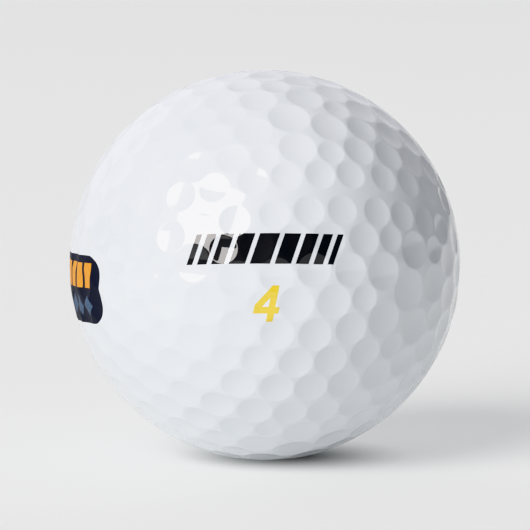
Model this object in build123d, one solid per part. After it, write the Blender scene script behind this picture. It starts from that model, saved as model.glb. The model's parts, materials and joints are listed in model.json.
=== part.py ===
"""Golf ball: a solid rubber core inside two fused dimpled cover halves, with printed marks.

Millimetres. The origin is the centre of the ball, +Z is up and the front print faces -Y.
Each piece is written to parts/NAME.step as its own solid or group of solids.
"""

import os
from math import atan, cos, degrees, radians, sin

from build123d import *

# ---------------------------------------------------------------- driving dimensions

BALL_DIAMETER = 42.67
COVER_THICKNESS = 1.9
INK_THICKNESS = 0.04

BALL_RADIUS = BALL_DIAMETER / 2
CORE_RADIUS = BALL_RADIUS - COVER_THICKNESS

# How the ball happens to lie: its polar axis leans back and to the left, then it spins about it.
POLE_LEAN_BACK = 25.6
POLE_LEAN_LEFT = 8.1
SPIN_ABOUT_POLE = 65.9

# Dimples are spherical dishes. Every rim breaks from the ball's surface at the same angle.
DIMPLE_EDGE_ANGLE = 13.0
TOOL_RIM_MARGIN = 0.01
TOOL_RISE = 0.3

# Angular radius of each dimple size, in degrees as seen from the centre of the ball.
EXTRA_LARGE = 6.1
LARGE = 5.45
UPPER_MEDIUM = 5.05
MEDIUM = 4.9
LOWER_MEDIUM = 4.82
SMALL = 4.0
PARTING_ROW_SIZE = 4.45

# The dimples repeat with the symmetry of an icosahedron. Each seed is its distance from an
# icosahedron vertex, its turn away from an edge, both in degrees, and its size.
FACE_BISECTOR = 36.0
SEEDS = (
    (0.0, 0.0, EXTRA_LARGE),
    (11.85, FACE_BISECTOR, LARGE),
    (16.6, 0.0, SMALL),
    (22.3, 23.0, LOWER_MEDIUM),
    (26.2, 0.0, UPPER_MEDIUM),
    (31.5, FACE_BISECTOR, MEDIUM),
    (48.9, FACE_BISECTOR, MEDIUM),
)

# The row beside the parting line is set back from it, to leave a straight band for the mould.
PARTING_BAND_REACH = 8.0
PARTING_ROW_LATITUDE = 5.5
PARTING_ROW_LONGITUDES = (-26.0, -14.5, -5.0, 5.0, 14.5, 26.0, 36.0)
SECTOR_ANGLE = 72.0
SAME_COSINE = 1e-6
SAME_DIRECTION = 1e-4

# Prints: azimuth 0 is the front, -90 is the left side. Both stamps repeat at the back.
ALIGNMENT_MARK_ELEVATION = 10.7
PLAY_NUMBER_ELEVATION = -5.0
PLAY_NUMBER_OFFSET = 0.7
BACK_AZIMUTH = 180.0

BAR_WIDTHS = (0.6, 1.0, 1.35, 1.7, 2.1, 1.7, 1.35, 1.0, 0.6)
BAR_GAP = 0.5
BAR_HEIGHT = 3.2
BAR_SLANT = 20.0

# The figure four: a level crossbar, an upright that crosses it, and a diagonal with a short
# vertical shoulder above the crossbar's left end.
NUMBER_HEIGHT = 3.85
NUMBER_WIDTH = 2.65
NUMBER_STROKE = 0.7
NUMBER_SLANT = 11.0
NUMBER_BAR_RISE = 0.88
NUMBER_OVERHANG = 0.44
NUMBER_SHOULDER = 0.18
NUMBER_DIAGONAL_WIDTH = 0.93

EMBLEM_AZIMUTH = -78.5
EMBLEM_ELEVATION = -5.3
EMBLEM_ROLL = 2.1
EMBLEM_WIDTH = 16.0
EMBLEM_HEIGHT = 7.4
EMBLEM_CORNER = 2.2
PANEL_COUNT = 6
PANEL_WIDTH = 1.6
PANEL_HEIGHT = 2.7
PANEL_PITCH = 2.2
PANEL_ROW_HEIGHT = 1.55
PANEL_SLANT = 12.0
DIAMOND_COUNT = 5
DIAMOND_WIDTH = 2.0
DIAMOND_HEIGHT = 2.3
DIAMOND_PITCH = 2.5
DIAMOND_ROW_HEIGHT = -1.75

ORIENTATION = Rot(X=-POLE_LEAN_BACK) * Rot(Y=-POLE_LEAN_LEFT) * Rot(Z=SPIN_ABOUT_POLE)


# ---------------------------------------------------------------- dimple layout

def from_latitude(latitude, longitude):
    """The unit direction at a latitude and longitude, in degrees."""
    level = cos(radians(latitude))
    return Vector(
        level * cos(radians(longitude)),
        level * sin(radians(longitude)),
        sin(radians(latitude)),
    )


def icosahedron_vertices():
    """The twelve vertex directions, with one of them at the pole."""
    vertex_latitude = 90 - degrees(atan(2))
    vertices = [Vector(0, 0, 1)]
    for sector in range(5):
        vertices.append(from_latitude(vertex_latitude, sector * SECTOR_ANGLE))
    return vertices + [vertex * -1 for vertex in vertices]


def seed_copies(from_vertex, from_edge):
    """Every direction that the icosahedron's symmetry makes from one seed."""
    vertices = icosahedron_vertices()
    edge_cosine = vertices[0].dot(vertices[1])
    copies = []
    for vertex in vertices:
        for neighbour in vertices:
            if abs(vertex.dot(neighbour) - edge_cosine) > SAME_COSINE:
                continue
            along = (neighbour - vertex * edge_cosine).normalized()
            across = vertex.cross(along)
            for turn in (from_edge, -from_edge):
                aside = along * cos(radians(turn)) + across * sin(radians(turn))
                found = vertex * cos(radians(from_vertex)) + aside * sin(radians(from_vertex))
                if all((found - other).length > SAME_DIRECTION for other in copies):
                    copies.append(found)
    return copies


def half_dimples():
    """(direction, size) of each dimple on one cover half, whose pole is +Z."""
    dimples = []
    for from_vertex, from_edge, size in SEEDS:
        for direction in seed_copies(from_vertex, from_edge):
            if direction.Z > sin(radians(PARTING_BAND_REACH)):
                dimples.append((direction, size))
    for sector in range(5):
        for longitude in PARTING_ROW_LONGITUDES:
            turned = longitude + sector * SECTOR_ANGLE
            direction = from_latitude(PARTING_ROW_LATITUDE, turned)
            dimples.append((direction, PARTING_ROW_SIZE))
    return dimples


def facing(direction):
    """The placement that turns +Z to a direction."""
    return Plane(origin=(0, 0, 0), z_dir=direction).location


def dimple_tool(size, outward=0.0):
    """The cutter for one dimple at the pole, its dish moved outward by a film's thickness."""
    rim_radius = BALL_RADIUS * sin(radians(size))
    rim_height = BALL_RADIUS * cos(radians(size))
    rim_slope = radians(DIMPLE_EDGE_ANGLE - size)
    dish_radius = rim_radius / sin(rim_slope)
    dish_centre = rim_height + dish_radius * cos(rim_slope)
    dish_radius = dish_radius - outward
    wall = rim_radius + TOOL_RIM_MARGIN
    top = BALL_RADIUS + TOOL_RISE

    def dish_height(radius):
        return dish_centre - (dish_radius**2 - radius**2) ** 0.5

    lowest = (0, 0, dish_height(0))
    halfway = (wall / 2, 0, dish_height(wall / 2))
    outer = (wall, 0, dish_height(wall))
    dish = ThreePointArc(lowest, halfway, outer)
    sides = Polyline(outer, (wall, 0, top), (0, 0, top), lowest)
    profile = make_face(Wire([dish] + sides.edges()))
    return revolve(profile, axis=Axis.Z, revolution_arc=360)


def dimple_tools(dimples, outward=0.0):
    """A placed cutter for each dimple."""
    sizes = {size for _, size in dimples}
    masters = {size: dimple_tool(size, outward) for size in sizes}
    return [facing(direction) * masters[size] for direction, size in dimples]


# ---------------------------------------------------------------- core and cover

def make_core():
    """The solid rubber core."""
    return Sphere(CORE_RADIUS)


def make_cover_half(dimples):
    """One moulded cover half: a thick bowl, flat where it meets its twin, with dimples outside."""
    shell = Sphere(BALL_RADIUS, arc_size1=0, arc_size2=90, align=None)
    shell -= Sphere(CORE_RADIUS)
    return shell.cut(*dimple_tools(dimples))


# ---------------------------------------------------------------- prints

def stamp_plane(azimuth, elevation, roll=0.0):
    """A plane through the ball's centre, facing the stamped spot, with its x to the reader's right."""
    turn = radians(azimuth)
    level = cos(radians(elevation))
    outward = (sin(turn) * level, -cos(turn) * level, sin(radians(elevation)))
    plane = Plane(origin=(0, 0, 0), x_dir=(cos(turn), sin(turn), 0), z_dir=outward)
    return plane.rotated((0, 0, roll))


def slanted(width, height, slant):
    """A parallelogram that leans to the right, centred on the origin."""
    lean = height / 2 * sin(radians(slant))
    half = width / 2
    corners = [
        (-half - lean, -height / 2),
        (half - lean, -height / 2),
        (half + lean, height / 2),
        (-half + lean, height / 2),
    ]
    return make_face(Polyline(*corners, close=True))


def alignment_outline():
    """A row of slanted bars, widest in the middle."""
    span = sum(BAR_WIDTHS) + BAR_GAP * (len(BAR_WIDTHS) - 1)
    left = -span / 2
    bars = Sketch()
    for width in BAR_WIDTHS:
        bars += Pos(left + width / 2) * slanted(width, BAR_HEIGHT, BAR_SLANT)
        left += width + BAR_GAP
    return bars


def number_outline():
    """A plain leaning figure four: an upright, a crossbar and a diagonal."""
    lean = sin(radians(NUMBER_SLANT))
    top = NUMBER_HEIGHT / 2
    right = NUMBER_WIDTH / 2
    bar_low = -top + NUMBER_BAR_RISE
    bar_high = bar_low + NUMBER_STROKE
    shoulder = bar_high + NUMBER_SHOULDER
    upright_right = right - NUMBER_OVERHANG
    upright_left = upright_right - NUMBER_STROKE
    diagonal_run = (upright_left + right) / (top - shoulder)
    window_left = NUMBER_DIAGONAL_WIDTH - right - NUMBER_SHOULDER * diagonal_run
    window_top = top - NUMBER_DIAGONAL_WIDTH / diagonal_run

    def leaned(x, y):
        return (x + y * lean, y)

    outline = [
        leaned(upright_left, -top),
        leaned(upright_right, -top),
        leaned(upright_right, bar_low),
        leaned(right, bar_low),
        leaned(right, bar_high),
        leaned(upright_right, bar_high),
        leaned(upright_right, top),
        leaned(upright_left, top),
        leaned(-right, shoulder),
        leaned(-right, bar_low),
        leaned(upright_left, bar_low),
    ]
    window = [
        leaned(window_left, bar_high),
        leaned(upright_left, bar_high),
        leaned(upright_left, window_top),
    ]
    figure = make_face(Polyline(*outline, close=True))
    return figure - make_face(Polyline(*window, close=True))


def panel_outline():
    """The emblem's upper row of slanted panels."""
    panels = Sketch()
    for index in range(PANEL_COUNT):
        across = (index - (PANEL_COUNT - 1) / 2) * PANEL_PITCH
        panel = slanted(PANEL_WIDTH, PANEL_HEIGHT, PANEL_SLANT)
        panels += Pos(across, PANEL_ROW_HEIGHT) * panel
    return panels


def diamond_outline():
    """The emblem's lower row of diamonds."""
    diamonds = Sketch()
    half_width = DIAMOND_WIDTH / 2
    half_height = DIAMOND_HEIGHT / 2
    corners = [(-half_width, 0), (0, -half_height), (half_width, 0), (0, half_height)]
    diamond = make_face(Polyline(*corners, close=True))
    for index in range(DIAMOND_COUNT):
        across = (index - (DIAMOND_COUNT - 1) / 2) * DIAMOND_PITCH
        diamonds += Pos(across, DIAMOND_ROW_HEIGHT) * diamond
    return diamonds


def ground_outline():
    """The emblem's rounded ground, open where the panels and diamonds are printed."""
    ground = RectangleRounded(EMBLEM_WIDTH, EMBLEM_HEIGHT, EMBLEM_CORNER)
    return ground - panel_outline() - diamond_outline()


def ink_film(plane, outline, dimples):
    """An outline pressed straight onto the dimpled skin, as a film of even thickness."""
    reach = outline.bounding_box().diagonal / 2 / BALL_RADIUS + radians(EXTRA_LARGE)
    near = [dimple for dimple in dimples if plane.z_dir.dot(dimple[0]) > cos(reach)]
    block = extrude(plane * outline, amount=BALL_RADIUS + TOOL_RISE)
    block -= Sphere(CORE_RADIUS)
    outside = (block & Sphere(BALL_RADIUS + INK_THICKNESS)).cut(*dimple_tools(near, INK_THICKNESS))
    inside = (block & Sphere(BALL_RADIUS)).cut(*dimple_tools(near))
    return outside - inside


# ---------------------------------------------------------------- assembly

def whole_ball_dimples(half):
    """Every dimple of the assembled ball, in the ball's own frame."""
    upper = ORIENTATION
    lower = ORIENTATION * Rot(Y=180)
    dimples = []
    for placement in (upper, lower):
        for direction, size in half:
            dimples.append(((placement * Pos(*direction)).position, size))
    return dimples


def make_parts():
    """Each node's name and its shape."""
    half = half_dimples()
    everywhere = whole_ball_dimples(half)
    cover_half = make_cover_half(half)
    emblem = stamp_plane(EMBLEM_AZIMUTH, EMBLEM_ELEVATION, EMBLEM_ROLL)
    parts = {
        "rubber_core": ORIENTATION * make_core(),
        "cover_half_upper": ORIENTATION * cover_half,
        "cover_half_lower": ORIENTATION * Rot(Y=180) * cover_half,
        "emblem_ground": ink_film(emblem, ground_outline(), everywhere),
        "emblem_panels": ink_film(emblem, panel_outline(), everywhere),
        "emblem_diamonds": ink_film(emblem, diamond_outline(), everywhere),
    }
    for side, azimuth in (("front", 0.0), ("back", BACK_AZIMUTH)):
        bars_at = stamp_plane(azimuth, ALIGNMENT_MARK_ELEVATION)
        number_at = stamp_plane(azimuth + PLAY_NUMBER_OFFSET, PLAY_NUMBER_ELEVATION)
        parts[f"alignment_mark_{side}"] = ink_film(bars_at, alignment_outline(), everywhere)
        parts[f"play_number_{side}"] = ink_film(number_at, number_outline(), everywhere)
    return parts


if __name__ == "__main__":
    os.makedirs("parts", exist_ok=True)
    for name, shape in make_parts().items():
        export_step(shape, f"parts/{name}.step")
        print(name, "solids", len(shape.solids()), "volume", round(shape.volume, 3))
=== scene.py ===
"""Studio picture of a two-piece golf ball: dimpled cover halves, prints and a hidden core."""

import json
from math import atan, cos, degrees, pi, radians, sin, sqrt, tan

import bpy
import numpy as np
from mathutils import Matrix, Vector
from mathutils.geometry import delaunay_2d_cdt


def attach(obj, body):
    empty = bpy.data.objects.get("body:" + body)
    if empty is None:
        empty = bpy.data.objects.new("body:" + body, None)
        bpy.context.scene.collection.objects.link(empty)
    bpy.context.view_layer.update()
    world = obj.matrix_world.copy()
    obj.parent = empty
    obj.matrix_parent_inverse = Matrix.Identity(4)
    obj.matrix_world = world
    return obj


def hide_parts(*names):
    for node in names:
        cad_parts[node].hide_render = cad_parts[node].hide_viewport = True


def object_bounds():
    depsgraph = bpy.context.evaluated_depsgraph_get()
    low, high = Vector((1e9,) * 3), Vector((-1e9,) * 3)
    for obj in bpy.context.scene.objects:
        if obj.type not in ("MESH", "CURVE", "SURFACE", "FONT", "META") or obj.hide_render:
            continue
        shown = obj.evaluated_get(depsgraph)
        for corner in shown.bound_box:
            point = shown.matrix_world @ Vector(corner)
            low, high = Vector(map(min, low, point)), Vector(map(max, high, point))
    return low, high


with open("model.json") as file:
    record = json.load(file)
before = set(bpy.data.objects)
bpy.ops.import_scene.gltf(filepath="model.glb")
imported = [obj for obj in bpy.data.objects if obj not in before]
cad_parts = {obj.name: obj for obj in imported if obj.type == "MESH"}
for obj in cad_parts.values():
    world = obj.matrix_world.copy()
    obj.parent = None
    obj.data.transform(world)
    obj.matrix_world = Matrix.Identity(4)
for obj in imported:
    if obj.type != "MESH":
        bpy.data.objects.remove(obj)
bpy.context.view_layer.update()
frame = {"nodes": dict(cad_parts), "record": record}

MM = 0.001

# ---------------------------------------------------------------- sizes, from the frame

MOUNTS = {mount["name"]: mount for mount in frame["record"]["mounts"]}
BALL_RADIUS = -MOUNTS["tee_seat"]["pos_m"][2] / MM
CORE_RADIUS = max(vertex.co.length for vertex in frame["nodes"]["rubber_core"].data.vertices) / MM
FLOOR_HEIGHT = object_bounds()[0].z

# ---------------------------------------------------------------- dimples, as the CAD lays them out

# How the ball lies, in degrees: its pole leans back and to the left, then it spins about it.
POLE_LEAN_BACK = 25.6
POLE_LEAN_LEFT = 8.1
SPIN_ABOUT_POLE = 65.9

# Every dimple's wall meets the ball at this angle, in degrees. The paint rounds the edge between
# them over this many millimetres.
DIMPLE_EDGE_ANGLE = 13.0
RIM_SOFTNESS = 0.03

# Angular radius of each dimple size, in degrees as seen from the centre of the ball.
EXTRA_LARGE = 6.1
LARGE = 5.45
UPPER_MEDIUM = 5.05
MEDIUM = 4.9
LOWER_MEDIUM = 4.82
SMALL = 4.0
PARTING_ROW_SIZE = 4.45

# The dimples repeat with the symmetry of an icosahedron. Each seed is its distance from an
# icosahedron vertex, its turn away from an edge, both in degrees, and its size.
FACE_BISECTOR = 36.0
SEEDS = (
    (0.0, 0.0, EXTRA_LARGE),
    (11.85, FACE_BISECTOR, LARGE),
    (16.6, 0.0, SMALL),
    (22.3, 23.0, LOWER_MEDIUM),
    (26.2, 0.0, UPPER_MEDIUM),
    (31.5, FACE_BISECTOR, MEDIUM),
    (48.9, FACE_BISECTOR, MEDIUM),
)

# The row beside the parting line is set back from it, to leave a straight band for the mould.
PARTING_BAND_REACH = 8.0
PARTING_ROW_LATITUDE = 5.5
PARTING_ROW_LONGITUDES = (-26.0, -14.5, -5.0, 5.0, 14.5, 26.0, 36.0)
SECTORS = 5
SECTOR_ANGLE = 360 / SECTORS
SAME_COSINE = 1e-6
SAME_DIRECTION = 1e-4
SAME_DIMPLE_COSINE = 1 - 1e-9

# ---------------------------------------------------------------- mesh fineness, in millimetres

RIM_RING_OFFSETS = (-0.16, -0.08, 0.0, 0.08, 0.16)
RING_STEP = 0.21
DISH_RING_STEP = 0.28
LAND_STEP = 0.2
LAND_CLEARANCE = 0.2
PARTING_EDGE_CLEARANCE = 0.05
BOWL_STEP = 1.6
PRINT_STEP = 0.11
PRINT_THICKNESS = 0.012

# Points round a cover half's parting edge, and steps round one corner of the emblem.
EQUATOR_POINTS = 480
EMBLEM_CORNER_STEPS = 10

# How much wider apart a dimple's points get, for each millimetre in from its rim rings.
DISH_COARSENING = 0.1

# How far mesh points stay from an edge, as a share of the step between them.
LAND_EDGE_SHARE = 0.6
BOWL_EDGE_SHARE = 0.5
PRINT_EDGE_SHARE = 0.45

# Measuring the skin: dimples that can shape one point, points worked on together, the step that
# finds a slope, a height above the ball that no dish reaches, and rounds to land a print.
NEAREST_DIMPLES = 3
POINTS_AT_ONCE = 20000
SLOPE_STEP = 1e-4
OUT_OF_REACH = 1.0
PRESSING_ROUNDS = 4

# A direction whose z is beyond this is too near the pole to be crossed with the pole.
NEARLY_POLAR = 0.9
POLE = (0.0, 0.0, 1.0)
SIDEWAYS = (1.0, 0.0, 0.0)

# Triangles: Blender's code for filling the whole hull, and the limits for merging and slivers.
WHOLE_HULL = 0
MERGE_DISTANCE = 1e-9
SLIVER_AREA = 1e-12

# ---------------------------------------------------------------- prints, where the CAD has them

# Millimetres and degrees. Azimuth 0 is the front and -90 the left side.
ALIGNMENT_MARK_ELEVATION = 10.7
PLAY_NUMBER_ELEVATION = -5.0
PLAY_NUMBER_OFFSET = 0.7
BACK_AZIMUTH = 180.0
BAR_WIDTHS = (0.6, 1.0, 1.35, 1.7, 2.1, 1.7, 1.35, 1.0, 0.6)
BAR_GAP = 0.5
BAR_HEIGHT = 3.2
BAR_SLANT = 20.0
NUMBER_HEIGHT = 3.85
NUMBER_WIDTH = 2.65
NUMBER_STROKE = 0.7
NUMBER_SLANT = 11.0
NUMBER_BAR_RISE = 0.88
NUMBER_OVERHANG = 0.44
NUMBER_SHOULDER = 0.18
NUMBER_DIAGONAL_WIDTH = 0.93
EMBLEM_AZIMUTH = -78.5
EMBLEM_ELEVATION = -5.3
EMBLEM_ROLL = 2.1
EMBLEM_WIDTH = 16.0
EMBLEM_HEIGHT = 7.4
EMBLEM_CORNER = 2.2
PANEL_COUNT = 6
PANEL_WIDTH = 1.6
PANEL_HEIGHT = 2.7
PANEL_PITCH = 2.2
PANEL_ROW_HEIGHT = 1.55
PANEL_SLANT = 12.0
DIAMOND_COUNT = 5
DIAMOND_WIDTH = 2.0
DIAMOND_HEIGHT = 2.3
DIAMOND_PITCH = 2.5
DIAMOND_ROW_HEIGHT = -1.75

# ---------------------------------------------------------------- looks

# Each pair is the two ends of a slight variation in colour.
WHITE_PAINT = ((0.745, 0.787, 0.828), (0.775, 0.817, 0.858))
CORE_RUBBER = ((0.70, 0.30, 0.09), (0.84, 0.42, 0.15))
BLACK_INK = ((0.006, 0.007, 0.009), (0.010, 0.011, 0.014))
YELLOW_INK = ((0.79, 0.60, 0.05), (0.83, 0.67, 0.07))
NAVY_INK = ((0.008, 0.010, 0.022), (0.014, 0.017, 0.035))
AMBER_INK = ((0.75, 0.30, 0.03), (0.80, 0.40, 0.05))
SLATE_INK = ((0.06, 0.10, 0.17), (0.09, 0.14, 0.22))

# The clear coat, and its weight on ink that lies under it and on ink that lies over it.
COAT_IOR = 1.62
COAT_ROUGHNESS = 0.02
UNDER_COAT = 1.0
OVER_COAT = 0.0

# ---------------------------------------------------------------- camera, floor and light

CAMERA_ELEVATION = 6.0
CAMERA_DISTANCE_IN_RADII = 22.6
BALL_SHARE_OF_FRAME = 0.737
SENSOR_WIDTH = 36.0

# A round floor, in metres, flat in the middle with a rim that sweeps up.
FLOOR_RADIUS = 3.0
FLOOR_FLAT_RADIUS = 2.2
FLOOR_RIM_HEIGHT = 0.12
FLOOR_SIDES = 96
FLOOR_RIM_STEPS = 12

# The floor glows faintly: painted light that lifts the floor, its shadow and the ball's underside.
# The glow fades out towards a spot near the ball's foot, a painted soft contact shadow. The spot
# and its reach are in ball radii.
FLOOR_COLOR = (0.512, 0.522, 0.517)
FLOOR_GLOW = 0.378
DARK_MIDDLE = (0.14, 0.12)
DARK_REACH = 0.66

# The key light, at a distance in metres. Its width and height are the degrees that it fills.
KEY_DISTANCE = 10.0
KEY_AZIMUTH = -39.5
KEY_ELEVATION = 31.5
KEY_WIDTH = 34.5
KEY_HEIGHT = 38.0
KEY_RADIANCE = 8.35
KEY_COLOR = (1.04, 1.0, 0.985)

# Each soft patch of the room's glow: azimuth and elevation, its reach in degrees and its strength.
GLOW_COLOR = (0.98, 0.98, 1.03)
GLOWS = (
    (180.0, 4.0, 24.0, 0.40),
    (180.0, 30.0, 37.0, 0.66),
    (145.0, 4.0, 29.0, 0.26),
    (142.0, 30.0, 37.0, 0.18),
    (-145.0, 8.0, 31.0, 0.66),
    (-140.0, 30.0, 37.0, 0.58),
    (0.0, 90.0, 52.0, 0.66),
)


# ================================================================ dimple layout

def unit(vector):
    """The same direction at length one."""
    return vector / np.linalg.norm(vector)


def from_latitude(latitude, longitude):
    """The unit direction at a latitude and longitude, in degrees."""
    level = cos(radians(latitude))
    return np.array([
        level * cos(radians(longitude)),
        level * sin(radians(longitude)),
        sin(radians(latitude)),
    ])


def icosahedron_vertices():
    """The twelve vertex directions, with one of them at the pole."""
    vertex_latitude = 90 - degrees(atan(2))
    vertices = [np.array([0.0, 0.0, 1.0])]
    for sector in range(SECTORS):
        vertices.append(from_latitude(vertex_latitude, sector * SECTOR_ANGLE))
    return vertices + [-vertex for vertex in vertices]


def seed_copies(from_vertex, from_edge):
    """Every direction that the icosahedron's symmetry makes from one seed."""
    vertices = icosahedron_vertices()
    edge_cosine = vertices[0] @ vertices[1]
    copies = []
    for vertex in vertices:
        for neighbour in vertices:
            if abs(vertex @ neighbour - edge_cosine) > SAME_COSINE:
                continue
            along = unit(neighbour - vertex * edge_cosine)
            across = np.cross(vertex, along)
            for turn in (from_edge, -from_edge):
                aside = along * cos(radians(turn)) + across * sin(radians(turn))
                found = vertex * cos(radians(from_vertex)) + aside * sin(radians(from_vertex))
                if all(np.linalg.norm(found - other) > SAME_DIRECTION for other in copies):
                    copies.append(found)
    return copies


def half_dimples():
    """The direction and size of each dimple on one cover half, whose pole is +Z."""
    dimples = []
    for from_vertex, from_edge, size in SEEDS:
        for direction in seed_copies(from_vertex, from_edge):
            if direction[2] > sin(radians(PARTING_BAND_REACH)):
                dimples.append((direction, size))
    for sector in range(SECTORS):
        for longitude in PARTING_ROW_LONGITUDES:
            turned = longitude + sector * SECTOR_ANGLE
            dimples.append((from_latitude(PARTING_ROW_LATITUDE, turned), PARTING_ROW_SIZE))
    return dimples


def rotation(axis, angle):
    """The matrix that turns about a row axis, x, y or z, by an angle in degrees."""
    turn = radians(angle)
    first = (axis + 1) % 3
    second = (axis + 2) % 3
    matrix = np.eye(3)
    matrix[first, first] = cos(turn)
    matrix[first, second] = -sin(turn)
    matrix[second, first] = sin(turn)
    matrix[second, second] = cos(turn)
    return matrix


X_AXIS, Y_AXIS, Z_AXIS = range(3)
UPPER = (
    rotation(X_AXIS, -POLE_LEAN_BACK)
    @ rotation(Y_AXIS, -POLE_LEAN_LEFT)
    @ rotation(Z_AXIS, SPIN_ABOUT_POLE)
)
LOWER = UPPER @ rotation(Y_AXIS, 180)


# ================================================================ the skin

class Skin:
    """The ball's dimpled surface: how far it is from the centre in any direction."""

    def __init__(self):
        half = half_dimples()
        directions = np.array([direction for direction, _ in half])
        sizes = np.radians([size for _, size in half])
        self.directions = np.vstack([directions @ UPPER.T, directions @ LOWER.T])
        self.sizes = np.concatenate([sizes, sizes])
        rim_slope = radians(DIMPLE_EDGE_ANGLE) - self.sizes
        self.dish_radii = BALL_RADIUS * np.sin(self.sizes) / np.sin(rim_slope)
        self.dish_centres = BALL_RADIUS * np.cos(self.sizes) + self.dish_radii * np.cos(rim_slope)

    def nearest(self, points):
        """Each point's nearest few dimples, by distance from their rims."""
        found = np.empty((len(points), NEAREST_DIMPLES), int)
        for start in range(0, len(points), POINTS_AT_ONCE):
            some = slice(start, start + POINTS_AT_ONCE)
            angles = np.arccos(np.clip(points[some] @ self.directions.T, -1, 1))
            outside = angles - self.sizes
            near = np.argpartition(outside, NEAREST_DIMPLES, axis=1)[:, :NEAREST_DIMPLES]
            order = np.argsort(np.take_along_axis(outside, near, axis=1), axis=1)
            found[some] = np.take_along_axis(near, order, axis=1)
        return found

    def clearance(self, points, near):
        """Angle from each point to the nearest rim, negative inside a dimple."""
        cosines = np.einsum("ij,ij->i", points, self.directions[near[:, 0]])
        return np.arccos(np.clip(cosines, -1, 1)) - self.sizes[near[:, 0]]

    def height(self, points, near):
        """Distance from the ball's centre to the skin, with softly rounded rims."""
        height = np.full(len(points), BALL_RADIUS)
        for column in range(NEAREST_DIMPLES):
            dimple = near[:, column]
            cosine = np.einsum("ij,ij->i", points, self.directions[dimple])
            centre = self.dish_centres[dimple]
            inside_root = self.dish_radii[dimple] ** 2 - centre**2 * (1 - cosine**2)
            dish = centre * cosine - np.sqrt(np.maximum(inside_root, 0))
            dish = np.where((inside_root > 0) & (cosine > 0), dish, BALL_RADIUS + OUT_OF_REACH)
            share = np.clip(0.5 + 0.5 * (dish - height) / RIM_SOFTNESS, 0, 1)
            blended = dish * (1 - share) + height * share
            height = blended - RIM_SOFTNESS * share * (1 - share)
        return height

    def normals(self, points, near):
        """The unit normal of the skin in each direction."""
        aside = np.where(np.abs(points[:, 2:]) < NEARLY_POLAR, [POLE], [SIDEWAYS])
        first = np.cross(points, aside)
        first /= np.linalg.norm(first, axis=1, keepdims=True)
        second = np.cross(points, first)
        normals = points * self.height(points, near)[:, None]
        for tangent in (first, second):
            ahead = points + tangent * SLOPE_STEP
            behind = points - tangent * SLOPE_STEP
            ahead /= np.linalg.norm(ahead, axis=1, keepdims=True)
            behind /= np.linalg.norm(behind, axis=1, keepdims=True)
            rise = self.height(ahead, near) - self.height(behind, near)
            slope = rise / (2 * SLOPE_STEP)
            normals -= tangent * slope[:, None]
        return normals / np.linalg.norm(normals, axis=1, keepdims=True)


SKIN = Skin()


# ================================================================ mesh helpers

def new_piece(name, vertices, faces, corner_normals, material):
    """A mesh object from millimetre vertices, with its own normal at each face corner."""
    mesh = bpy.data.meshes.new(name)
    mesh.from_pydata((vertices * MM).tolist(), [], faces)
    mesh.materials.append(material)
    mesh.polygons.foreach_set("use_smooth", np.ones(len(mesh.polygons), bool))
    mesh.normals_split_custom_set(corner_normals.tolist())
    mesh.update()
    piece = bpy.data.objects.new(name, mesh)
    bpy.context.scene.collection.objects.link(piece)
    return piece


def triangles_of(points, edges=()):
    """Delaunay triangles, anticlockwise, of points in a plane, as indices of those points."""
    corners = [Vector(point) for point in points.tolist()]
    result = delaunay_2d_cdt(corners, list(edges), [], WHOLE_HULL, MERGE_DISTANCE)
    source = np.array([origin[0] for origin in result[3]])
    triangles = source[np.array(result[2])]
    a, b, c = (points[triangles[:, corner]] for corner in range(3))
    turn = (b - a)[:, 0] * (c - a)[:, 1] - (b - a)[:, 1] * (c - a)[:, 0]
    flipped = turn < 0
    triangles[flipped] = triangles[flipped][:, ::-1]
    return triangles[np.abs(turn) > SLIVER_AREA]


def spiral(spacing):
    """Evenly spread directions over the upper half of the unit ball, spacing millimetres apart."""
    count = int(2 * pi * BALL_RADIUS**2 / spacing**2)
    index = np.arange(count) + 0.5
    height = 1 - index / count
    golden_angle_over_pi = 3 - sqrt(5)
    turn = index * pi * golden_angle_over_pi
    level = np.sqrt(1 - height**2)
    return np.stack([level * np.cos(turn), level * np.sin(turn), height], axis=1)


def equator():
    """Evenly spaced directions round the edge of the upper half of the unit ball."""
    turn = np.arange(EQUATOR_POINTS) * 2 * pi / EQUATOR_POINTS
    return np.stack([np.cos(turn), np.sin(turn), np.zeros(EQUATOR_POINTS)], axis=1)


def ring(direction, angle, count):
    """Directions evenly spaced on a circle, an angle away from its middle."""
    if count == 1:
        return direction[None]
    aside = POLE if abs(direction[2]) < NEARLY_POLAR else SIDEWAYS
    first = unit(np.cross(direction, aside))
    second = np.cross(direction, first)
    turn = np.arange(count) * 2 * pi / count
    around = np.cos(turn)[:, None] * first + np.sin(turn)[:, None] * second
    return direction * cos(angle) + around * sin(angle)


def dimple_rings(direction, size):
    """Mesh points of one dimple: fine rings across its rim and coarser ones over its dish."""
    rim = BALL_RADIUS * radians(size)
    radii = [rim + offset for offset in RIM_RING_OFFSETS]
    inner = radii[0]
    steps = max(2, round(inner / DISH_RING_STEP))
    radii += [inner * step / steps for step in range(steps)]
    rings = []
    for radius in radii:
        step = RING_STEP + max(0.0, inner - radius) * DISH_COARSENING
        count = max(1, round(2 * pi * radius / step))
        rings.append(ring(direction, radius / BALL_RADIUS, count))
    return np.vstack(rings)


# ================================================================ cover halves

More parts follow.
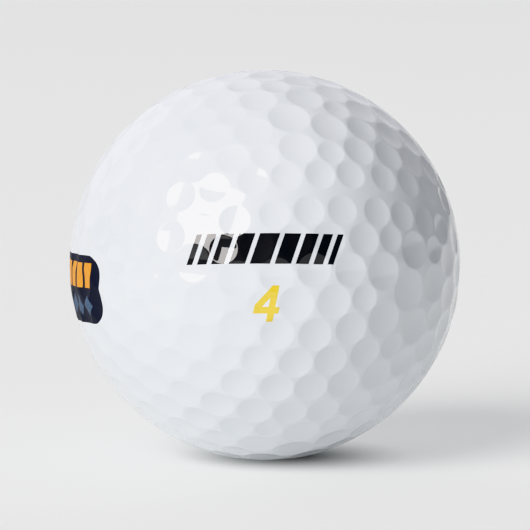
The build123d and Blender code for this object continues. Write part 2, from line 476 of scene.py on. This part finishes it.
def cover_half_points():
    """Mesh points of one half, in its own frame: its parting edge, its dimples, then the land."""
    half = half_dimples()
    lowest = PARTING_EDGE_CLEARANCE / BALL_RADIUS
    kept = [equator()]
    for direction, size in half:
        points = dimple_rings(direction, size)
        turned = points @ UPPER.T
        near = SKIN.nearest(turned)
        cosine = np.einsum("ij,j->i", SKIN.directions[near[:, 0]], UPPER @ direction)
        own = cosine > SAME_DIMPLE_COSINE
        kept.append(points[own & (points[:, 2] > lowest)])
    land = spiral(LAND_STEP)
    turned = land @ UPPER.T
    clear = SKIN.clearance(turned, SKIN.nearest(turned)) * BALL_RADIUS > LAND_CLEARANCE
    kept.append(land[clear & (land[:, 2] > LAND_STEP / BALL_RADIUS * LAND_EDGE_SHARE)])
    return np.vstack(kept)


def bowl_points():
    """Mesh points of the plain bowl that holds the core."""
    inside = spiral(BOWL_STEP)
    above_edge = inside[:, 2] > BOWL_STEP / BALL_RADIUS * BOWL_EDGE_SHARE
    return np.vstack([equator(), inside[above_edge]])


def flattened(points):
    """Stereographic map of a half ball onto a disc, which keeps Delaunay triangles."""
    return points[:, :2] / (1 + points[:, 2:])


def make_cover_half(node, placement, material):
    """A cover half as one closed shell: dimpled outside, flat parting ring and core bowl."""
    outer = cover_half_points()
    inner = bowl_points()
    outer_faces = triangles_of(flattened(outer))
    inner_faces = triangles_of(flattened(inner))[:, ::-1] + len(outer)
    start = np.arange(EQUATOR_POINTS)
    following = (start + 1) % EQUATOR_POINTS
    ring_faces = np.stack([start, start + len(outer), following + len(outer), following], axis=1)

    outward = outer @ placement.T
    near = SKIN.nearest(outward)
    skin = outward * SKIN.height(outward, near)[:, None]
    bowl = inner @ placement.T
    vertices = np.vstack([skin, bowl * CORE_RADIUS])
    point_normals = np.vstack([SKIN.normals(outward, near), -bowl])
    ring_normal = placement @ np.array([0.0, 0.0, -1.0])
    corner_normals = np.vstack([
        point_normals[outer_faces.ravel()],
        point_normals[inner_faces.ravel()],
        np.tile(ring_normal, (ring_faces.size, 1)),
    ])
    faces = outer_faces.tolist() + inner_faces.tolist() + ring_faces.tolist()
    piece = new_piece(f"{node}_shell", vertices, faces, corner_normals, material)
    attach(piece, "root")
    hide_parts(node)


# ================================================================ prints

def from_azimuth(azimuth, elevation):
    """The unit direction at an azimuth, 0 at the front and 90 at the right, and an elevation."""
    turn = radians(azimuth)
    level = cos(radians(elevation))
    return sin(turn) * level, -cos(turn) * level, sin(radians(elevation))


def stamp_axes(azimuth, elevation, roll=0.0):
    """Rows: the reader's right, the reader's up, and outward, for a stamp on the ball."""
    turn = radians(azimuth)
    outward = np.array(from_azimuth(azimuth, elevation))
    right = np.array([cos(turn), sin(turn), 0.0])
    up = np.cross(outward, right)
    lean = radians(roll)
    return np.array([
        right * cos(lean) + up * sin(lean),
        up * cos(lean) - right * sin(lean),
        outward,
    ])


def slanted(width, height, slant, across=0.0, above=0.0):
    """A parallelogram that leans to the right."""
    lean = height / 2 * sin(radians(slant))
    corners = [
        (-width / 2 - lean, -height / 2),
        (width / 2 - lean, -height / 2),
        (width / 2 + lean, height / 2),
        (-width / 2 + lean, height / 2),
    ]
    return np.array(corners) + (across, above)


def alignment_loops():
    """A row of slanted bars, widest in the middle."""
    left = -(sum(BAR_WIDTHS) + BAR_GAP * (len(BAR_WIDTHS) - 1)) / 2
    loops = []
    for width in BAR_WIDTHS:
        loops.append(slanted(width, BAR_HEIGHT, BAR_SLANT, across=left + width / 2))
        left += width + BAR_GAP
    return loops


def number_loops():
    """A plain leaning figure four, and the window in it."""
    lean = sin(radians(NUMBER_SLANT))
    top = NUMBER_HEIGHT / 2
    right = NUMBER_WIDTH / 2
    bar_low = -top + NUMBER_BAR_RISE
    bar_high = bar_low + NUMBER_STROKE
    shoulder = bar_high + NUMBER_SHOULDER
    upright_right = right - NUMBER_OVERHANG
    upright_left = upright_right - NUMBER_STROKE
    diagonal_run = (upright_left + right) / (top - shoulder)
    window_left = NUMBER_DIAGONAL_WIDTH - right - NUMBER_SHOULDER * diagonal_run
    window_top = top - NUMBER_DIAGONAL_WIDTH / diagonal_run
    outline = [
        (upright_left, -top),
        (upright_right, -top),
        (upright_right, bar_low),
        (right, bar_low),
        (right, bar_high),
        (upright_right, bar_high),
        (upright_right, top),
        (upright_left, top),
        (-right, shoulder),
        (-right, bar_low),
        (upright_left, bar_low),
    ]
    window = [
        (window_left, bar_high),
        (upright_left, bar_high),
        (upright_left, window_top),
    ]
    return [np.array([(x + y * lean, y) for x, y in loop]) for loop in (outline, window)]


def panel_loops():
    """The emblem's upper row of slanted panels."""
    loops = []
    for index in range(PANEL_COUNT):
        across = (index - (PANEL_COUNT - 1) / 2) * PANEL_PITCH
        loops.append(slanted(PANEL_WIDTH, PANEL_HEIGHT, PANEL_SLANT, across, PANEL_ROW_HEIGHT))
    return loops


def diamond_loops():
    """The emblem's lower row of diamonds."""
    half_width = DIAMOND_WIDTH / 2
    half_height = DIAMOND_HEIGHT / 2
    diamond = np.array([(-half_width, 0), (0, -half_height), (half_width, 0), (0, half_height)])
    middle = (DIAMOND_COUNT - 1) / 2
    return [
        diamond + ((index - middle) * DIAMOND_PITCH, DIAMOND_ROW_HEIGHT)
        for index in range(DIAMOND_COUNT)
    ]


def ground_loops():
    """The emblem's rounded ground, open where the panels and diamonds are printed."""
    outline = []
    for quarter, (side, level) in enumerate(((1, 1), (-1, 1), (-1, -1), (1, -1))):
        middle_x = side * (EMBLEM_WIDTH / 2 - EMBLEM_CORNER)
        middle_y = level * (EMBLEM_HEIGHT / 2 - EMBLEM_CORNER)
        for step in range(EMBLEM_CORNER_STEPS + 1):
            turn = (quarter + step / EMBLEM_CORNER_STEPS) * pi / 2
            outline.append((
                middle_x + EMBLEM_CORNER * cos(turn),
                middle_y + EMBLEM_CORNER * sin(turn),
            ))
    return [np.array(outline)] + panel_loops() + diamond_loops()


def divided(loop):
    """A loop with extra points along its sides."""
    points = []
    for start, end in zip(loop, np.roll(loop, -1, axis=0)):
        steps = max(1, round(np.linalg.norm(end - start) / PRINT_STEP))
        for step in range(steps):
            points.append(start + (end - start) * step / steps)
    return np.array(points)


def inside_loops(points, loops):
    """True for points inside an odd number of loops."""
    inside = np.zeros(len(points), bool)
    x, y = points.T
    for loop in loops:
        for (x1, y1), (x2, y2) in zip(loop, np.roll(loop, -1, axis=0)):
            if y1 == y2:
                continue
            crosses = (y1 > y) != (y2 > y)
            inside ^= crosses & (x < x1 + (y - y1) * (x2 - x1) / (y2 - y1))
    return inside


def print_grid(loops):
    """Points inside the loops, on a staggered grid, a little way in from the edges."""
    corners = np.vstack(loops)
    low = corners.min(axis=0)
    high = corners.max(axis=0)
    row_step = PRINT_STEP * sqrt(3) / 2
    rows = np.arange(low[1], high[1], row_step)
    columns = np.arange(low[0], high[0], PRINT_STEP)
    grid = np.array([
        (x + (index % 2) * PRINT_STEP / 2, y) for index, y in enumerate(rows) for x in columns
    ])
    grid = grid[inside_loops(grid, loops)]
    edge = np.vstack([divided(loop) for loop in loops])
    clear = np.ones(len(grid), bool)
    for point in edge:
        clear &= np.abs(grid - point).max(axis=1) > PRINT_STEP * PRINT_EDGE_SHARE
    return grid[clear]


def pressed(points, axes):
    """Where flat print points land on the skin when pressed straight onto it, and their normals."""
    height = np.full(len(points), BALL_RADIUS)
    for _ in range(PRESSING_ROUNDS):
        depth = np.sqrt(height**2 - (points**2).sum(axis=1))
        landed = points @ axes[:2] + depth[:, None] * axes[2]
        directions = landed / np.linalg.norm(landed, axis=1, keepdims=True)
        near = SKIN.nearest(directions)
        height = SKIN.height(directions, near)
    return directions * height[:, None], SKIN.normals(directions, near)


def open_edges(triangles):
    """The directed edges that only one triangle has."""
    directed = np.vstack([triangles[:, [0, 1]], triangles[:, [1, 2]], triangles[:, [2, 0]]])
    known = set(map(tuple, directed.tolist()))
    return np.array([edge for edge in known if edge[::-1] not in known])


def make_film(node, loops, axes, material):
    """A thin closed film of ink on the skin, one island for each separate shape."""
    edges = []
    boundary = []
    first = 0
    for loop in loops:
        points = divided(loop)
        count = len(points)
        edges += [(first + index, first + (index + 1) % count) for index in range(count)]
        boundary.append(points)
        first += count
    flat = np.vstack(boundary + [print_grid(loops)])
    top = triangles_of(flat, edges)
    top = top[inside_loops(flat[top].mean(axis=1), loops)]
    below, normals = pressed(flat, axes)
    above = below + normals * PRINT_THICKNESS
    count = len(flat)
    rim = open_edges(top)
    sides = np.stack([rim[:, 0], rim[:, 0] + count, rim[:, 1] + count, rim[:, 1]], axis=1)
    along = above[rim[:, 1]] - above[rim[:, 0]]
    side_normals = np.cross(along, normals[rim[:, 0]])
    side_normals /= np.linalg.norm(side_normals, axis=1, keepdims=True)
    corner_normals = np.vstack([
        normals[top.ravel()],
        -normals[top[:, ::-1].ravel()],
        np.repeat(side_normals, 4, axis=0),
    ])
    faces = top.tolist() + (top[:, ::-1] + count).tolist() + sides.tolist()
    piece = new_piece(f"{node}_film", np.vstack([above, below]), faces, corner_normals, material)
    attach(piece, "root")
    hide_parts(node)


# ================================================================ materials

def new_material(name):
    """A node material, with its node tree and its shader."""
    material = bpy.data.materials.new(name)
    material.use_nodes = True
    return material, material.node_tree, material.node_tree.nodes["Principled BSDF"]


def add_noise(tree, scale, detail):
    """Noise in the object's own space. Returns its value socket."""
    place = tree.nodes.new("ShaderNodeTexCoord")
    noise = tree.nodes.new("ShaderNodeTexNoise")
    noise.inputs["Scale"].default_value = scale
    noise.inputs["Detail"].default_value = detail
    tree.links.new(place.outputs["Object"], noise.inputs["Vector"])
    return noise.outputs["Fac"]


def add_ramp(tree, value, colors, positions):
    """A blend between two colours as a value rises. Returns its colour socket."""
    ramp = tree.nodes.new("ShaderNodeValToRGB")
    for stop, position, color in zip(ramp.color_ramp.elements, positions, colors):
        stop.position = position
        stop.color = (*color, 1)
    tree.links.new(value, ramp.inputs["Fac"])
    return ramp.outputs["Color"]


def add_range(tree, value, low, high):
    """A value from 0 to 1, mapped onto low to high. Returns its socket."""
    span = tree.nodes.new("ShaderNodeMapRange")
    span.inputs["To Min"].default_value = low
    span.inputs["To Max"].default_value = high
    tree.links.new(value, span.inputs["Value"])
    return span.outputs["Result"]


def add_bump(tree, value, strength, distance):
    """A bump as high as a value. Returns its normal socket."""
    bump = tree.nodes.new("ShaderNodeBump")
    bump.inputs["Strength"].default_value = strength
    bump.inputs["Distance"].default_value = distance
    tree.links.new(value, bump.inputs["Height"])
    return bump.outputs["Normal"]


def make_white_cover():
    """White painted ionomer under a clear coat, with a faint orange peel."""
    material, tree, shader = new_material("white_cover")
    shader.inputs["Coat Weight"].default_value = 1.0
    shader.inputs["Coat Roughness"].default_value = COAT_ROUGHNESS
    shader.inputs["Coat IOR"].default_value = COAT_IOR
    cloud = add_noise(tree, scale=60.0, detail=4.0)
    tint = add_ramp(tree, cloud, WHITE_PAINT, positions=(0.35, 0.65))
    satin = add_range(tree, cloud, low=0.38, high=0.46)
    peel = add_noise(tree, scale=900.0, detail=2.0)
    bump = add_bump(tree, peel, strength=0.02, distance=0.02 * MM)
    tree.links.new(tint, shader.inputs["Base Color"])
    tree.links.new(satin, shader.inputs["Roughness"])
    tree.links.new(bump, shader.inputs["Normal"])
    tree.links.new(bump, shader.inputs["Coat Normal"])
    return material


def make_ink(name, colors, coat):
    """Pad-printed ink, uneven in colour and shine, with or without the clear coat over it."""
    material, tree, shader = new_material(name)
    shader.inputs["Coat Weight"].default_value = coat
    shader.inputs["Coat Roughness"].default_value = COAT_ROUGHNESS
    shader.inputs["Coat IOR"].default_value = COAT_IOR
    shader.inputs["Specular IOR Level"].default_value = 0.25
    grain = add_noise(tree, scale=2500.0, detail=3.0)
    tint = add_ramp(tree, grain, colors, positions=(0.3, 0.75))
    satin = add_range(tree, grain, low=0.5, high=0.62)
    tree.links.new(tint, shader.inputs["Base Color"])
    tree.links.new(satin, shader.inputs["Roughness"])
    return material


def make_rubber():
    """Moulded core rubber: matte, with mottled colour and a fine ground texture."""
    material, tree, shader = new_material("core_rubber")
    shader.inputs["Roughness"].default_value = 0.75
    mottle = add_noise(tree, scale=350.0, detail=6.0)
    tint = add_ramp(tree, mottle, CORE_RUBBER, positions=(0.0, 1.0))
    bump = add_bump(tree, mottle, strength=0.4, distance=0.05 * MM)
    tree.links.new(tint, shader.inputs["Base Color"])
    tree.links.new(bump, shader.inputs["Normal"])
    return material


def make_table_top():
    """The pale matte floor, its painted glow fading to a painted shadow at the ball's foot."""
    material, tree, shader = new_material("table_top")
    place = tree.nodes.new("ShaderNodeTexCoord")
    distance = tree.nodes.new("ShaderNodeVectorMath")
    distance.operation = "DISTANCE"
    distance.inputs[1].default_value = [along * BALL_RADIUS * MM for along in (*DARK_MIDDLE, 0)]
    # Painted light: the floor's emission, faded near the foot into a painted contact shadow.
    glow = tree.nodes.new("ShaderNodeMapRange")
    glow.interpolation_type = "SMOOTHSTEP"
    glow.inputs["From Max"].default_value = DARK_REACH * BALL_RADIUS * MM
    glow.inputs["To Max"].default_value = FLOOR_GLOW
    tree.links.new(place.outputs["Object"], distance.inputs[0])
    tree.links.new(distance.outputs["Value"], glow.inputs["Value"])
    tree.links.new(glow.outputs["Result"], shader.inputs["Emission Strength"])
    shader.inputs["Emission Color"].default_value = (1, 1, 1, 1)
    shader.inputs["Base Color"].default_value = (*FLOOR_COLOR, 1)
    shader.inputs["Roughness"].default_value = 0.9
    shader.inputs["Specular IOR Level"].default_value = 0.1
    return material


# ================================================================ stage

def make_floor():
    """A wide round floor whose rim sweeps up a little, so that low views don't look past it."""
    turns = np.arange(FLOOR_SIDES) * 2 * pi / FLOOR_SIDES
    vertices = [(0.0, 0.0, 0.0)]
    faces = [(0, 1 + side, 1 + (side + 1) % FLOOR_SIDES) for side in range(FLOOR_SIDES)]
    for step in range(FLOOR_RIM_STEPS + 1):
        outward = step / FLOOR_RIM_STEPS
        radius = FLOOR_FLAT_RADIUS + (FLOOR_RADIUS - FLOOR_FLAT_RADIUS) * outward
        height = FLOOR_RIM_HEIGHT * outward**2
        for turn in turns:
            vertices.append((radius * cos(turn), radius * sin(turn), height))
    for step in range(FLOOR_RIM_STEPS):
        inner = 1 + step * FLOOR_SIDES
        outer = inner + FLOOR_SIDES
        for side in range(FLOOR_SIDES):
            following = (side + 1) % FLOOR_SIDES
            faces.append((inner + side, outer + side, outer + following, inner + following))
    mesh = bpy.data.meshes.new("floor")
    mesh.from_pydata(vertices, [], faces)
    mesh.materials.append(make_table_top())
    mesh.polygons.foreach_set("use_smooth", np.ones(len(mesh.polygons), bool))
    floor = bpy.data.objects.new("floor", mesh)
    floor.location.z = FLOOR_HEIGHT
    bpy.context.scene.collection.objects.link(floor)


def make_key_light():
    """A large softbox that faces the ball from the upper left front."""
    light = bpy.data.lights.new("key_softbox", "AREA")
    light.shape = "RECTANGLE"
    light.size = 2 * KEY_DISTANCE * tan(radians(KEY_WIDTH / 2))
    light.size_y = 2 * KEY_DISTANCE * tan(radians(KEY_HEIGHT / 2))
    light.energy = KEY_RADIANCE * pi * light.size * light.size_y
    light.color = KEY_COLOR
    lamp = bpy.data.objects.new("key_softbox", light)
    bpy.context.scene.collection.objects.link(lamp)
    lamp.visible_camera = False
    direction = Vector(from_azimuth(KEY_AZIMUTH, KEY_ELEVATION))
    lamp.location = direction * KEY_DISTANCE
    lamp.rotation_mode = "QUATERNION"
    lamp.rotation_quaternion = direction.to_track_quat("Z", "Y")


def add_glow_patch(tree, place, azimuth, elevation, reach, strength):
    """One soft round patch of light on the studio's walls. Returns its brightness socket."""
    facing = tree.nodes.new("ShaderNodeVectorMath")
    facing.operation = "DOT_PRODUCT"
    facing.inputs[1].default_value = from_azimuth(azimuth, elevation)
    tree.links.new(place.outputs["Generated"], facing.inputs[0])
    fade = tree.nodes.new("ShaderNodeMapRange")
    fade.interpolation_type = "SMOOTHSTEP"
    fade.inputs["From Min"].default_value = cos(radians(reach))
    fade.inputs["From Max"].default_value = 1.0
    fade.inputs["To Max"].default_value = strength
    tree.links.new(facing.outputs["Value"], fade.inputs["Value"])
    return fade.outputs["Result"]


def make_world():
    """The dark studio's walls, lit only in soft patches."""
    world = bpy.data.worlds.new("studio")
    bpy.context.scene.world = world
    world.use_nodes = True
    tree = world.node_tree
    background = tree.nodes["Background"]
    background.inputs["Color"].default_value = (*GLOW_COLOR, 1)
    place = tree.nodes.new("ShaderNodeTexCoord")
    patches = [add_glow_patch(tree, place, *glow) for glow in GLOWS]
    total = patches[0]
    for patch in patches[1:]:
        both = tree.nodes.new("ShaderNodeMath")
        both.operation = "ADD"
        tree.links.new(total, both.inputs[0])
        tree.links.new(patch, both.inputs[1])
        total = both.outputs["Value"]
    tree.links.new(total, background.inputs["Strength"])


def make_camera():
    """A long lens at the ball's front, looking slightly down at its centre."""
    camera_data = bpy.data.cameras.new("camera")
    camera = bpy.data.objects.new("camera", camera_data)
    bpy.context.scene.collection.objects.link(camera)
    bpy.context.scene.camera = camera
    back = Vector(from_azimuth(0, CAMERA_ELEVATION))
    camera.location = back * (BALL_RADIUS * MM * CAMERA_DISTANCE_IN_RADII)
    camera.rotation_mode = "QUATERNION"
    camera.rotation_quaternion = back.to_track_quat("Z", "Y")
    limb_tangent = 1 / sqrt(CAMERA_DISTANCE_IN_RADII**2 - 1)
    camera_data.sensor_width = SENSOR_WIDTH
    camera_data.lens = SENSOR_WIDTH / 2 * BALL_SHARE_OF_FRAME / limb_tangent


def set_tone():
    """A view transform that keeps whites and inks close to their true colours."""
    bpy.context.scene.view_settings.view_transform = "Khronos PBR Neutral"


# ================================================================ pieces

def make_cover():
    """The two cover halves, painted alike."""
    white = make_white_cover()
    make_cover_half("cover_half_upper", UPPER, white)
    make_cover_half("cover_half_lower", LOWER, white)


def finish_core():
    """The CAD's own core, in rubber."""
    materials = frame["nodes"]["rubber_core"].data.materials
    materials.clear()
    materials.append(make_rubber())


def make_stamps():
    """The alignment mark and the play number, on the front and again at the back."""
    black = make_ink("black_ink", BLACK_INK, UNDER_COAT)
    yellow = make_ink("yellow_ink", YELLOW_INK, UNDER_COAT)
    for side, azimuth in (("front", 0.0), ("back", BACK_AZIMUTH)):
        mark_axes = stamp_axes(azimuth, ALIGNMENT_MARK_ELEVATION)
        number_axes = stamp_axes(azimuth + PLAY_NUMBER_OFFSET, PLAY_NUMBER_ELEVATION)
        make_film(f"alignment_mark_{side}", alignment_loops(), mark_axes, black)
        make_film(f"play_number_{side}", number_loops(), number_axes, yellow)


def make_emblem():
    """The side emblem: a dark ground round amber panels and slate diamonds."""
    axes = stamp_axes(EMBLEM_AZIMUTH, EMBLEM_ELEVATION, EMBLEM_ROLL)
    navy = make_ink("navy_ink", NAVY_INK, OVER_COAT)
    amber = make_ink("amber_ink", AMBER_INK, OVER_COAT)
    slate = make_ink("slate_ink", SLATE_INK, OVER_COAT)
    make_film("emblem_ground", ground_loops(), axes, navy)
    make_film("emblem_panels", panel_loops(), axes, amber)
    make_film("emblem_diamonds", diamond_loops(), axes, slate)


# ================================================================ build

make_cover()
finish_core()
make_stamps()
make_emblem()
make_floor()
make_key_light()
make_world()
make_camera()
set_tone()
